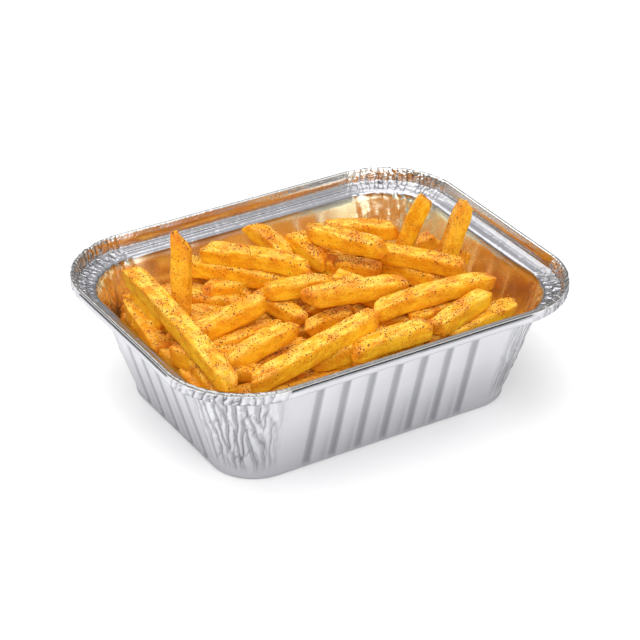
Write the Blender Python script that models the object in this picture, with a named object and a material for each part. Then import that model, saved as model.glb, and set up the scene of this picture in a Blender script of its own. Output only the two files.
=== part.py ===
"""Foil tray meal: a crimped aluminium takeaway tray heaped with seasoned French fries.

The script builds two named pieces, the foil tray and the heap of fries. Sizes are in
millimetres while the meshes are made, and each mesh is turned to metres when it is finished.
The origin is the middle of the tray's underside, +Z is up, and the tray's long side runs along X.
"""
import math
import random

import bmesh
import bpy
from mathutils import Matrix, Vector

MM = 0.001

# Foil tray
TRAY_LENGTH = 147.0
TRAY_WIDTH = 117.0
TRAY_HEIGHT = 44.5
RIM_RADIUS = 29.0
RADIUS_LOSS = 0.73
FOIL = 0.4
FLANGE_Z = 40.2
POCKET_INSET = 8.5
POCKET_Z = 37.8
BASE_INSET = 19.1
WALL_SLOPE = (BASE_INSET - POCKET_INSET) / POCKET_Z
FLUTE_TOP = 33.0
FLUTE_BOTTOM = 6.0

# Flutes pressed inward along the straight walls
FLUTE_PITCH = 9.7
FLUTE_WIDTH = 2.8
FLUTE_DEPTH = 0.8
FLUTES_LONG = 7
FLUTES_SHORT = 5

# Pleats gathered round the corners
CORNER_STEPS = 8
PLEAT_DEPTH = 0.35
PLEAT_LIFT = 0.25
CORNER_FLARE = 0.3

# Heap of fries
CORE_GAP = 1.5
CORE_BASE_INSET = 22.6
CORE_BRIM_DROP = 4.0
CORE_FLOOR = FOIL + 0.35
CORE_COLUMNS = 28
CORE_RINGS = 5
CORE_TOP = 33.0
CORE_FALL = 12.0
CORE_FALL_START = 22.0
CORE_FALL_RUN = 30.0
FRY_CHAMFER = 0.24
FRY_END_SCALE = 0.7
FRY_END_LENGTH = 1.5
STRAIGHT_BOW = 0.2
UNDER_FRIES = 24
UNDER_LIFT = 1.2
UNDER_SPACING = 7.5
UNDER_LEFT_END = -55.0
UNDER_RIGHT_END = 46.0
UNDER_FRONT = -30.0
UNDER_BACK = 42.0
UNDER_HEADINGS = (-100.0, 30.0)
UNDER_LENGTHS = (24.0, 38.0)
UNDER_WIDTH = 6.0
UNDER_THICKNESS = 5.8
WALL_CLEARANCE = 4.4
SEED = 7

# The fries on top of the heap, largest first: middle (x, y, z), length, heading in degrees from +X,
# tilt in degrees with the far end up, width, thickness and the bow at the middle
TOP_FRIES = (
    (-54.6, -4, 42.4, 71, -91, -6, 6.7, 5.9, 0.6),
    (-25, -38, 41.2, 47, 0, 14, 6.5, 6.1, -0.5),
    (-20, 18, 40.8, 45, -52, 1, 5.8, 6.0, 0.6),
    (23, -33, 44.9, 43, -7, 3, 6.3, 5.9, 1.6),
    (-15, 14, 46.6, 38, -51, 0, 6.5, 6.1, 0.5),
    (32, -8, 43.9, 36, -55, 1, 6.1, 5.9, 0.5),
    (-45, 12, 48.0, 33, 46, 86, 6.1, 5.0, 0.3),
    (1, -21, 47.0, 34, -15, 0, 6.7, 6.3, 0.4),
    (-23, 26, 33.5, 32, -73, 6, 5.9, 5.6, 0.4),
    (37, 4, 43.9, 38, -53, 71, 5.9, 5.8, 0.6),
    (48, -7, 46.1, 29, -20, 72, 6.5, 5.8, 0.6),
    (-33, -25, 33.6, 29, 1, 7, 5.9, 5.8, 0.3),
    (13, 5, 50.2, 28, -53, -3, 6.5, 6.1, 0.5),
    (31, -6, 38.0, 28, -61, 0, 6.3, 6.4, 0.3),
    (-47, 13, 28.0, 28, -94, 0, 5.8, 5.4, 0.3),
    (-57, 14, 33.3, 27, -95, -11, 6.7, 5.6, 0.3),
    (-1, -45, 41.2, 27, -8, 7, 6.7, 6.1, 0.4),
    (-26, 17, 32.0, 27, -76, 0, 5.9, 5.8, 0.3),
    (30, -40, 32.0, 27, 0, 0, 5.9, 5.8, 0.2),
    (13, 7, 39.6, 27, -55, 4, 5.9, 5.8, 0.3),
    (-37, -25, 39.7, 26, -10, 20, 6.1, 6.1, 0.4),
    (-29, -38, 31.0, 26, -2, 0, 5.9, 5.4, 0.2),
    (-38, -7, 41.8, 25, -9, 19, 6.1, 6.1, 0.4),
    (27, 17, 45.0, 25, -33, 0, 5.9, 5.9, 0.4),
    (-35, -12, 35.8, 24, -16, 10, 5.9, 5.6, 0.2),
    (-1, -26, 32.4, 23, -2, 4, 5.8, 5.8, 0.2),
    (40, -10, 32.3, 23, -23, 14, 5.8, 5.8, 0.2),
    (26.5, -43.6, 42.6, 23, 9, 12, 6.1, 5.8, 0.3),
    (34, -44.9, 37.7, 26, -1, 9, 6.7, 5.9, 0.3),
    (-11, -5, 44.2, 22, -11, -2, 5.9, 5.9, 0.3),
    (-18, -5, 38.7, 21, -77, -4, 5.8, 5.4, 0.2),
    (7, 5, 36.0, 21, -56, 0, 5.8, 5.8, 0.2),
    (-51, -8, 29.5, 21, 51, -3, 6.3, 5.6, 0.2),
    (-6, 22, 47.0, 20, -73, -18, 6.1, 5.9, 0.3),
    (-17, -37, 35.0, 20, -21, 0, 5.8, 5.4, 0.2),
    (-48, -21, 29.8, 18, 32, -8, 5.9, 5.4, 0.2),
    (13, -32, 37.2, 18, -42, 2, 5.8, 5.4, 0.2),
    (13, 19, 40.8, 18, -57, -14, 5.8, 5.4, 0.2),
    (3, 13, 45.7, 17, -68, -22, 5.8, 5.8, 0.2),
    (-8, -20, 38.0, 17, -11, 10, 5.8, 5.6, 0.2),
    (47, 14, 34.4, 16, -11, 11, 5.8, 5.8, 0.2),
    (49, -7, 35.6, 13, -15, 66, 6.1, 5.8, 0.1),
    (-53.3, 17, 39.0, 22, -91, -6, 6.2, 6.6, 0.2),
    (-53, -16, 35.0, 22, -60, 0, 6.2, 6.8, 0.2),
    (9, -14, 41.0, 28, -75, 0, 6.2, 6.4, 0.2),
    (2, 14, 40.2, 26, -40, 0, 6.2, 6.4, 0.2),
    (27, 18, 39.3, 24, -60, 0, 6.2, 6.4, 0.2),
    (28, 22, 34.0, 26, -20, 0, 6.2, 6.4, 0.2),
    (12, 22, 35.4, 26, -30, 0, 6.2, 6.4, 0.2),
    (46, 10, 28.5, 30, -70, -5, 6.2, 6.2, 0.2),
    (-12, -39, 38.2, 26, -12, 12, 6.2, 6.6, 0.2),
    (0, -42, 35.4, 26, 10, 5, 6.2, 6.8, 0.2),
    (24, -34, 39.2, 24, 12, 0, 6.2, 6.4, 0.2),
    (-20, 17, 36.5, 26, -15, 0, 6.2, 6.4, 0.2),
    (31, -5, 33.0, 26, -20, 0, 6.2, 6.4, 0.2),
)


def wall_inset(z):
    """Inset of the outer skin of the sloping wall at height z."""
    return POCKET_INSET - FOIL + WALL_SLOPE * (POCKET_Z - z)


def material(name, colour, roughness, metallic):
    made = bpy.data.materials.new(name)
    made.use_nodes = True
    shader = made.node_tree.nodes["Principled BSDF"]
    shader.inputs["Base Color"].default_value = (*colour, 1.0)
    shader.inputs["Roughness"].default_value = roughness
    shader.inputs["Metallic"].default_value = metallic
    made.diffuse_color = (*colour, 1.0)
    return made


def mesh_object(name, points, faces):
    mesh = bpy.data.meshes.new(name)
    mesh.from_pydata([tuple(p) for p in points], [], faces)
    mesh.validate()
    made = bpy.data.objects.new(name, mesh)
    bpy.context.scene.collection.objects.link(made)
    return made


def loft(rings, closed_ends):
    """Points and faces of a tube through rings of equal length, with a fan to each end point."""
    count = len(rings[0])
    points = [p for ring in rings for p in ring]
    faces = []
    for k in range(len(rings) - 1):
        low = k * count
        high = low + count
        for i in range(count):
            j = (i + 1) % count
            faces.append((low + i, low + j, high + j, high + i))
    first, last = closed_ends
    points.append(first)
    points.append(last)
    start = len(points) - 2
    end = len(points) - 1
    top = (len(rings) - 1) * count
    for i in range(count):
        j = (i + 1) % count
        faces.append((start, j, i))
        faces.append((end, top + i, top + j))
    return points, faces


def outline_point(column, inset, push):
    """A point on the rounded rectangle at this inset from the rim, pushed outward by push."""
    side, value = column[0], column[1]
    half_x = TRAY_LENGTH / 2 - inset
    half_y = TRAY_WIDTH / 2 - inset
    radius = RIM_RADIUS - RADIUS_LOSS * inset
    if side == "corner":
        quarter = column[2]
        angle = quarter * math.pi / 2 + value
        sign_x = 1 if quarter in (0, 3) else -1
        sign_y = 1 if quarter in (0, 1) else -1
        x = sign_x * (half_x - radius) + (radius + push) * math.cos(angle)
        y = sign_y * (half_y - radius) + (radius + push) * math.sin(angle)
        return x, y
    if side == "right":
        return half_x + push, value
    if side == "back":
        return value, half_y + push
    if side == "left":
        return -half_x - push, value
    return value, -half_y - push


def flute_columns(side, count, direction):
    """Columns of one straight wall: three to each flute, in walking order round the tray."""
    columns = []
    for k in range(count):
        middle = (k - (count - 1) / 2) * FLUTE_PITCH
        for shift, depth in ((-FLUTE_WIDTH / 2, 0.0), (0.0, 1.0), (FLUTE_WIDTH / 2, 0.0)):
            columns.append((side, direction * (middle + shift), depth, 0.0, 0.0))
    return columns


def corner_columns(quarter):
    """Columns of one corner: side, angle, quarter, pleat in or out, flare."""
    columns = []
    for k in range(CORNER_STEPS + 1):
        share = k / CORNER_STEPS
        pleat = (1.0 if k % 2 else -1.0) if 0 < k < CORNER_STEPS else 0.0
        flare = math.sin(math.pi * share) ** 2
        columns.append(("corner", share * math.pi / 2, quarter, pleat, flare))
    return columns


def tray_columns():
    columns = flute_columns("right", FLUTES_SHORT, 1)
    columns += corner_columns(0)
    columns += flute_columns("back", FLUTES_LONG, -1)
    columns += corner_columns(1)
    columns += flute_columns("left", FLUTES_SHORT, -1)
    columns += corner_columns(2)
    columns += flute_columns("front", FLUTES_LONG, 1)
    columns += corner_columns(3)
    return columns


def tray_section():
    """The foil's closed section from the middle of the underside round the rim and back inside.

    Each entry is inset, height, share of the flute, share of the pleats, share of the pleat lift.
    """
    middle = (FLUTE_TOP + FLUTE_BOTTOM) / 2
    inner = FOIL * math.hypot(1.0, WALL_SLOPE)
    lip = 1.95
    return (
        (BASE_INSET + 1.3, 0.0, 0.0, 0.0, 0.0),
        (BASE_INSET + 0.1, 0.3, 0.0, 0.0, 0.0),
        (BASE_INSET - 0.7, 1.3, 0.0, 0.3, 0.0),
        (wall_inset(FLUTE_BOTTOM), FLUTE_BOTTOM, 1.0, 0.6, 0.0),
        (wall_inset(middle), middle, 1.0, 1.0, 0.0),
        (wall_inset(FLUTE_TOP), FLUTE_TOP, 1.0, 1.0, 0.0),
        (8.3, 37.4, 0.0, 1.0, 0.0),
        (6.1, FLANGE_Z - 0.2, 0.0, 1.0, 1.0),
        (lip, FLANGE_Z, 0.0, 1.0, 1.0),
        (lip, 42.4, 0.0, 1.0, 0.0),
        (0.4, 42.7, 0.0, 1.0, 0.0),
        (0.0, 43.6, 0.0, 1.0, 0.0),
        (0.7, TRAY_HEIGHT, 0.0, 1.0, 0.0),
        (lip, 44.3, 0.0, 1.0, 0.0),
        (lip + 0.4, 41.0, 0.0, 1.0, 1.0),
        (lip + 0.8, FLANGE_Z + FOIL, 0.0, 1.0, 1.0),
        (6.3, FLANGE_Z - 0.2 + FOIL, 0.0, 1.0, 1.0),
        (8.7, 37.6, 0.0, 1.0, 0.0),
        (wall_inset(FLUTE_TOP) + inner, FLUTE_TOP, 1.0, 1.0, 0.0),
        (wall_inset(middle) + inner, middle, 1.0, 1.0, 0.0),
        (wall_inset(FLUTE_BOTTOM) + inner, FLUTE_BOTTOM, 1.0, 0.6, 0.0),
        (BASE_INSET - 0.3, 1.5, 0.0, 0.3, 0.0),
        (BASE_INSET + 0.3, 0.7, 0.0, 0.0, 0.0),
        (BASE_INSET + 1.4, FOIL, 0.0, 0.0, 0.0),
    )


def build_tray():
    """The tray is one closed skin of foil lofted round the rounded rectangle."""
    columns = tray_columns()
    rings = []
    for inset, z, flute, pleat, lift in tray_section():
        ring = []
        for column in columns:
            push = 0.0
            height = z
            if column[0] == "corner":
                push = pleat * (column[3] * PLEAT_DEPTH + column[4] * CORNER_FLARE)
                height = z + lift * column[3] * PLEAT_LIFT
            else:
                push = -flute * column[2] * FLUTE_DEPTH
            x, y = outline_point(column, inset, push)
            ring.append((x, y, height))
        rings.append(ring)
    points, faces = loft(rings, ((0.0, 0.0, 0.0), (0.0, 0.0, FOIL)))
    return mesh_object("foil_tray", points, faces)


def fry(name, x, y, z, length, heading, tilt, width, thickness, bow):
    """One fry: an eight-sided bar with chamfered edges and narrowed ends, bowed a little or straight."""
    half_w = width / 2
    half_t = thickness / 2
    cut = FRY_CHAMFER * width
    section = (
        (half_w, half_t - cut), (half_w - cut, half_t), (cut - half_w, half_t), (-half_w, half_t - cut),
        (-half_w, cut - half_t), (cut - half_w, -half_t), (half_w - cut, -half_t), (half_w, cut - half_t),
    )
    half = length / 2
    middle = ((-length / 6, 1.0), (length / 6, 1.0)) if abs(bow) > STRAIGHT_BOW else ()
    stations = (
        (-half, FRY_END_SCALE), (-half + FRY_END_LENGTH, 1.0),
        *middle,
        (half - FRY_END_LENGTH, 1.0), (half, FRY_END_SCALE),
    )
    turn = Matrix.Rotation(math.radians(heading), 4, "Z") @ Matrix.Rotation(math.radians(-tilt), 4, "Y")
    place = Matrix.Translation((x, y, z)) @ turn
    rings = []
    for along, scale in stations:
        rise = bow * (1.0 - (along / half) ** 2) - bow / 2
        rings.append([place @ Vector((along, a * scale, b * scale + rise)) for a, b in section])
    ends = (place @ Vector((-half, 0.0, -bow / 2)), place @ Vector((half, 0.0, -bow / 2)))
    points, faces = loft(rings, ends)
    return mesh_object(name, points, faces)


def core_edge(angle, inset):
    """Point of the core's edge in the direction angle, at this inset from the rim."""
    half_x = TRAY_LENGTH / 2 - inset
    half_y = TRAY_WIDTH / 2 - inset
    radius = RIM_RADIUS - RADIUS_LOSS * inset
    cos_a = math.cos(angle)
    sin_a = math.sin(angle)
    reach = min(half_x / max(abs(cos_a), 1e-6), half_y / max(abs(sin_a), 1e-6))
    corner = Vector((half_x - radius, half_y - radius))
    if reach * abs(cos_a) > corner.x and reach * abs(sin_a) > corner.y:
        direction = Vector((abs(cos_a), abs(sin_a)))
        along = direction.dot(corner)
        reach = along + math.sqrt(max(along ** 2 - corner.length_squared + radius ** 2, 0.0))
    return reach * cos_a, reach * sin_a


def core_height(x, y):
    """Height of the core's top: a low mound that falls away to the right-hand end."""
    across = (y / 50.0) ** 2
    along = max(0.0, (x - CORE_FALL_START) / CORE_FALL_RUN) ** 2
    ripple = math.sin(x * 0.21 + 0.6) * math.cos(y * 0.27)
    return CORE_TOP - 5.0 * across - CORE_FALL * min(along, 1.0) + 1.0 * ripple


def build_core():
    angles = [2 * math.pi * (k + 0.5) / CORE_COLUMNS for k in range(CORE_COLUMNS)]
    side = FOIL + CORE_GAP
    rings = [
        [(*core_edge(a, CORE_BASE_INSET), CORE_FLOOR) for a in angles],
        [(*core_edge(a, wall_inset(FLUTE_BOTTOM) + side), FLUTE_BOTTOM) for a in angles],
    ]
    brim = []
    for a in angles:
        x, y = core_edge(a, wall_inset(FLUTE_BOTTOM) + side)
        x, y = core_edge(a, wall_inset(core_height(x, y) - CORE_BRIM_DROP) + side)
        brim.append((x, y, core_height(x, y) - CORE_BRIM_DROP))
    rings.append(brim)
    for k in range(1, CORE_RINGS):
        share = 1.0 - k / CORE_RINGS
        ring = []
        for x, y, _ in brim:
            ring.append((x * share, y * share, core_height(x * share, y * share)))
        rings.append(ring)
    points, faces = loft(rings, ((0.0, 0.0, CORE_FLOOR), (0.0, 0.0, core_height(0.0, 0.0))))
    return mesh_object("fries", points, faces)


def room(x, y, z):
    """Distance in plan from a point to the foil's inner skin at height z."""
    inset = wall_inset(min(z, POCKET_Z)) + FOIL
    half_x = TRAY_LENGTH / 2 - inset
    half_y = TRAY_WIDTH / 2 - inset
    radius = RIM_RADIUS - RADIUS_LOSS * inset
    over_x = max(abs(x) - (half_x - radius), 0.0)
    over_y = max(abs(y) - (half_y - radius), 0.0)
    if over_x > 0.0 and over_y > 0.0:
        return radius - math.hypot(over_x, over_y)
    return min(half_x - abs(x), half_y - abs(y))


def under_fries():
    """The fries half sunk in the core, laid at random where both ends stay clear of the foil."""
    rng = random.Random(SEED)
    made = []
    while len(made) < UNDER_FRIES:
        length = rng.uniform(*UNDER_LENGTHS)
        heading = rng.uniform(*UNDER_HEADINGS)
        x = rng.uniform(UNDER_LEFT_END, UNDER_RIGHT_END)
        y = rng.uniform(UNDER_FRONT, UNDER_BACK)
        step_x = length / 2 * math.cos(math.radians(heading))
        step_y = length / 2 * math.sin(math.radians(heading))
        start = core_height(x - step_x, y - step_y)
        end = core_height(x + step_x, y + step_y)
        z = (start + end) / 2 + UNDER_LIFT
        clear = min(room(x - step_x, y - step_y, z - 3.0), room(x + step_x, y + step_y, z - 3.0))
        if clear < WALL_CLEARANCE or x + abs(step_x) > UNDER_RIGHT_END:
            continue
        if any(math.hypot(x - m[0], y - m[1]) < UNDER_SPACING for m in made):
            continue
        tilt = math.degrees(math.atan2(end - start, length))
        made.append((x, y, z, length, heading, tilt, UNDER_WIDTH, UNDER_THICKNESS, 0.2))
    return made


def keep_largest(mesh):
    """Keeps the one outer skin, which fills sealed hollows and drops loose scraps."""
    work = bmesh.new()
    work.from_mesh(mesh)
    unseen = set(work.verts)
    islands = []
    while unseen:
        seed = unseen.pop()
        island = {seed}
        front = [seed]
        while front:
            vert = front.pop()
            for edge in vert.link_edges:
                other = edge.other_vert(vert)
                if other in unseen:
                    unseen.remove(other)
                    island.add(other)
                    front.append(other)
        islands.append(island)
    islands.sort(key=len, reverse=True)
    extra = [v for island in islands[1:] for v in island]
    if extra:
        bmesh.ops.delete(work, geom=extra, context="VERTS")
    work.to_mesh(mesh)
    work.free()


def build_fries():
    """The heap: a low core with the fries that show fused on at their true size."""
    heap = build_core()
    pile = bpy.data.collections.new("loose_fries")
    bpy.context.scene.collection.children.link(pile)
    for k, row in enumerate(TOP_FRIES + tuple(under_fries())):
        one = fry(f"fry_{k:02d}", *row)
        bpy.context.scene.collection.objects.unlink(one)
        pile.objects.link(one)
    union = heap.modifiers.new("fuse", "BOOLEAN")
    union.operation = "UNION"
    union.operand_type = "COLLECTION"
    union.collection = pile
    union.solver = "MANIFOLD"
    graph = bpy.context.evaluated_depsgraph_get()
    fused = bpy.data.meshes.new_from_object(heap.evaluated_get(graph))
    heap.modifiers.clear()
    heap.data = fused
    for one in list(pile.objects):
        bpy.data.objects.remove(one)
    bpy.data.collections.remove(pile)
    keep_largest(fused)
    return heap


def finish(made, slot):
    made.data.materials.clear()
    made.data.materials.append(slot)
    made.data.transform(Matrix.Scale(MM, 4))
    made.data.update()


for old in list(bpy.data.objects):
    bpy.data.objects.remove(old)

finish(build_tray(), material("foil", (0.80, 0.81, 0.82), 0.32, 1.0))
finish(build_fries(), material("fries", (0.86, 0.50, 0.10), 0.55, 0.0))
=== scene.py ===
import math
import random

import bpy
from mathutils import Matrix, Vector, noise


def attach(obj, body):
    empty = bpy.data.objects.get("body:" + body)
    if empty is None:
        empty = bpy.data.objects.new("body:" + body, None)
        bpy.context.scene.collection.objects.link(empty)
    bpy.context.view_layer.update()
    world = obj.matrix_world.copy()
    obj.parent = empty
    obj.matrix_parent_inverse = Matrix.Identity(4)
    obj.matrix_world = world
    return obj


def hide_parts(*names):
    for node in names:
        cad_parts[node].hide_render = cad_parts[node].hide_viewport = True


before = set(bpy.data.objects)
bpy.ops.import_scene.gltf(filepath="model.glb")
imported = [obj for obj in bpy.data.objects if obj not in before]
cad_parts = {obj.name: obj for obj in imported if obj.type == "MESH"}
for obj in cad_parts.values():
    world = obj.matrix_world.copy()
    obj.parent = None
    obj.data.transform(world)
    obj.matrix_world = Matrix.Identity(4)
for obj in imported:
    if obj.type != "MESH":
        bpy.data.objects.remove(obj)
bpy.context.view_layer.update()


# Studio. A plain white table of opal acrylic, lit a little from below, under soft light: a wide softbox
# above and behind to the left, a weaker one in front, and a pale sky dome whose dark lower band gives
# the bright foil something to mirror.

def linear(code):
    """An sRGB hex colour as linear red, green, blue and alpha."""
    parts = [int(code[i:i + 2], 16) / 255 for i in (1, 3, 5)]
    return (*[c / 12.92 if c <= 0.04045 else ((c + 0.055) / 1.055) ** 2.4 for c in parts], 1.0)


def add_node(tree, kind, sockets=None, **settings):
    """Adds a node: settings are its own properties, and sockets take a value or a link, by name or index.

    A colour Mix has its colours at 6 and 7 and its result at 2.
    """
    made = tree.nodes.new(kind)
    for name, value in settings.items():
        setattr(made, name, value)
    for key, value in (sockets or {}).items():
        if isinstance(value, bpy.types.NodeSocket):
            tree.links.new(value, made.inputs[key])
        else:
            made.inputs[key].default_value = value
    return made


TABLE_HALF = 3.0
TABLE_GLOW = 0.08
SKY_LOW = 0.1364
SKY_HIGH = 0.899
SKY_RAMP = (-0.05, 0.85)
# Name, place, side and power in watts
SOFTBOXES = (("key_softbox", (-0.32, 0.20, 0.92), 1.50, 10.5),
             ("fill_softbox", (-0.15, -0.95, 0.60), 1.20, 7.5))
LIT_SPOT = Vector((0.0, 0.0, 0.03))

world = bpy.data.worlds.new("studio_dome")
bpy.context.scene.world = world
world.use_nodes = True
sky = world.node_tree
height = add_node(sky, "ShaderNodeSeparateXYZ",
                  {0: add_node(sky, "ShaderNodeTexCoord").outputs["Generated"]})
lift = add_node(sky, "ShaderNodeMapRange", {"Value": height.outputs["Z"], "From Min": SKY_RAMP[0],
                                            "From Max": SKY_RAMP[1], "To Min": SKY_LOW, "To Max": SKY_HIGH},
                interpolation_type="SMOOTHSTEP")
background = sky.nodes["Background"]
background.inputs["Color"].default_value = linear("#FFFFFF")
sky.links.new(lift.outputs["Result"], background.inputs["Strength"])

table_mesh = bpy.data.meshes.new("table")
table_mesh.from_pydata([(-TABLE_HALF, -TABLE_HALF, 0.0), (TABLE_HALF, -TABLE_HALF, 0.0),
                        (TABLE_HALF, TABLE_HALF, 0.0), (-TABLE_HALF, TABLE_HALF, 0.0)], [], [(0, 1, 2, 3)])
table = bpy.data.objects.new("table", table_mesh)
bpy.context.scene.collection.objects.link(table)

# Opal acrylic with a sanded face: even and white, with no shine, and faintly lit through from below.
acrylic = bpy.data.materials.new("opal_acrylic")
acrylic.use_nodes = True
acrylic_shader = acrylic.node_tree.nodes["Principled BSDF"]
acrylic_shader.inputs["Base Color"].default_value = linear("#F0F0F0")
acrylic_shader.inputs["Roughness"].default_value = 0.9
acrylic_shader.inputs["Emission Color"].default_value = linear("#FFFFFF")
acrylic_shader.inputs["Emission Strength"].default_value = TABLE_GLOW
acrylic_shader.inputs["Specular IOR Level"].default_value = 0.2
table_mesh.materials.append(acrylic)

for name, place, size, power in SOFTBOXES:
    lamp = bpy.data.lights.new(name, "AREA")
    lamp.size = size
    lamp.energy = power
    box = bpy.data.objects.new(name, lamp)
    box.location = place
    box.rotation_euler = (LIT_SPOT - Vector(place)).to_track_quat("-Z", "Y").to_euler()
    bpy.context.scene.collection.objects.link(box)

# The camera stands about 0.8 m off, a little left of the tray's front, and looks down by 30 degrees.
CAMERA_TURN = math.radians(-31.3)
CAMERA_RISE = math.radians(30.5)
CAMERA_REACH = 0.825
CAMERA_AIM = Vector((0.0, 0.0, 0.020))
CAMERA_LENS = 138.9
CAMERA_SENSOR = 36.0
CAMERA_SHIFT = (0.0012, 0.0245)
camera_back = Vector((math.sin(CAMERA_TURN) * math.cos(CAMERA_RISE),
                      -math.cos(CAMERA_TURN) * math.cos(CAMERA_RISE), math.sin(CAMERA_RISE)))
lens = bpy.data.cameras.new("camera")
lens.sensor_width = CAMERA_SENSOR
lens.lens = CAMERA_LENS
lens.shift_x, lens.shift_y = CAMERA_SHIFT
lens.clip_start = 0.01
camera = bpy.data.objects.new("camera", lens)
camera.location = CAMERA_AIM + camera_back * CAMERA_REACH
camera.rotation_euler = (-camera_back).to_track_quat("-Z", "Y").to_euler()
bpy.context.scene.collection.objects.link(camera)
bpy.context.scene.camera = camera
bpy.context.scene.view_settings.view_transform = "Standard"


# Foil tray. A takeaway container pressed from one blank of thin soft aluminium: flutes stiffen the
# straight walls, the spare metal gathers into pleats at the corners, a flat ledge runs round the top,
# and the edge is turned up, rolled outward and folded down into a narrow skirt.

MM = 0.001
# Sizes in millimetres. Insets run inward from the rim's outline, and radii shrink with them.
TRAY_LENGTH = 147.0
TRAY_WIDTH = 117.0
RIM_RADIUS = 29.0
RADIUS_LOSS = 0.73
FOIL = 0.16
POCKET_INSET = 8.3
POCKET_Z = 37.8
BASE_INSET = 19.1
WALL_SLOPE = 0.296
LEDGE_Z = 39.6
LIP_FOOT = 2.45
LIP_TOP = 1.66
ROLL_RADIUS = 0.62
ROLL_Z = 43.8
SKIRT_INSET = 0.50
SLIT_DEPTH = 0.40
FLUTE_PITCH = 9.7
FLUTE_WIDTH = 3.9
FLUTE_DEPTH = 0.30
FLUTE_SHARPNESS = 1.6
FLUTES_LONG = 7
FLUTES_SHORT = 5
FLUTE_STEPS = 6
FLAT_BULGE = 0.45
FLAT_END = 6.0
COLUMN_GAP = 1.6
WALL_STEPS = 32
BASE_RINGS = 5
ROLL_STEPS = 8
ROLL_TURN = 210.0
SKIRT_RINGS = 11
CORNER_COLUMNS = 92
# Heights over which the ledge takes over from the wall, and the lip from the ledge
LEDGE_START = (36.3, 38.4)
LIP_START = (39.8, 40.6)
# Folds: the width of one, and the half width of the painted dark line of shade along its sharp edge
WALL_FOLD = 4.0
LIP_PLEAT = 2.0
SKIRT_PLEAT = 2.5
FOLD_LINE = 0.55
PLEAT_LINE = 0.40
# How far folds, slanting folds, pleats and the small facets between them stand out
FOLD_HEIGHT = 0.38
BRANCH_HEIGHT = 0.24
WALL_FACET = 0.20
PLEAT_HEIGHT = 0.34
ROLLED_PLEAT_LOSS = 0.14
FACET_SIZE = 2.4
DENT_HEIGHT = 0.10
# The inner wall shows folds and creases, and the painted shade along them, more faintly than the outside does
INNER_WALL_INSET = 7.0
INNER_CRUSH = 0.35
INNER_CREASE_SHADE = 0.25
LEAST_CRUSH = 0.03
MOST_PUSH = 0.9
MOST_LIP_PUSH = 0.38
MOST_RISE = 0.35


def smooth(low, high, value):
    """Soft step from 0 at low to 1 at high."""
    share = min(max((value - low) / (high - low), 0.0), 1.0)
    return share * share * (3.0 - 2.0 * share)


def outline_point(column, inset, push):
    """A point on the rounded rectangle at this inset from the rim, pushed outward by push."""
    side, value = column[0], column[1]
    half_x = TRAY_LENGTH / 2 - inset
    half_y = TRAY_WIDTH / 2 - inset
    radius = RIM_RADIUS - RADIUS_LOSS * inset
    if side == "corner":
        quarter = column[2]
        angle = quarter * math.pi / 2 + value
        sign_x = 1 if quarter in (0, 3) else -1
        sign_y = 1 if quarter in (0, 1) else -1
        return (sign_x * (half_x - radius) + (radius + push) * math.cos(angle),
                sign_y * (half_y - radius) + (radius + push) * math.sin(angle))
    return {"right": (half_x + push, value), "back": (value, half_y + push),
            "left": (-half_x - push, value), "front": (value, -half_y - push)}[side]


def straight_columns(side, count, direction, end):
    """Columns along one straight wall: close together across each of the flutes, wide apart between.

    A painted shade above 0 darkens the flutes, more down one side, and one below 0 darkens a flat near the
    base.
    """
    places = []
    for k in range(count):
        middle = (k - (count - 1) / 2) * FLUTE_PITCH
        for i in range(FLUTE_STEPS + 1):
            share = i / FLUTE_STEPS
            depth = min(1.0, FLUTE_SHARPNESS * math.sin(math.pi * share)) ** 2
            shade = min(1.0, depth * (0.55 + 0.6 * share))
            places.append((middle + FLUTE_WIDTH * (share - 0.5), depth, shade))
        if k < count - 1:
            gap = FLUTE_PITCH - FLUTE_WIDTH
            for share, shade in ((0.25, 0.0), (0.5, -0.15), (0.75, -0.4)):
                bulge = FLAT_BULGE * math.sin(math.pi * share)
                places.append((middle + FLUTE_WIDTH / 2 + gap * share, -bulge, shade))
    last = places[-1][0]
    steps = max(2, round((end - last) / COLUMN_GAP))
    tail = [(last + (end - last) * i / steps, 0.0, 0.0) for i in range(1, steps)]
    places = [(-x, 0.0, 0.0) for x, depth, shade in reversed(tail)] + places + tail
    return [(side, direction * x, shade, depth, 0.0) for x, depth, shade in places]


def tray_columns():
    """Columns round the tray: side, place or angle, painted shade or quarter, depth of fluting, corner share.
    """
    columns = []
    walls = (("right", FLUTES_SHORT, 1), ("back", FLUTES_LONG, -1),
             ("left", FLUTES_SHORT, -1), ("front", FLUTES_LONG, 1))
    for quarter, (side, count, direction) in enumerate(walls):
        end = (TRAY_WIDTH if count == FLUTES_SHORT else TRAY_LENGTH) / 2 - RIM_RADIUS
        columns += straight_columns(side, count, direction, end - FLAT_END)
        for k in range(CORNER_COLUMNS + 1):
            share = k / CORNER_COLUMNS
            columns.append(("corner", share * math.pi / 2, quarter, 0.0, math.sin(math.pi * share) ** 0.5))
    return columns


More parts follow.
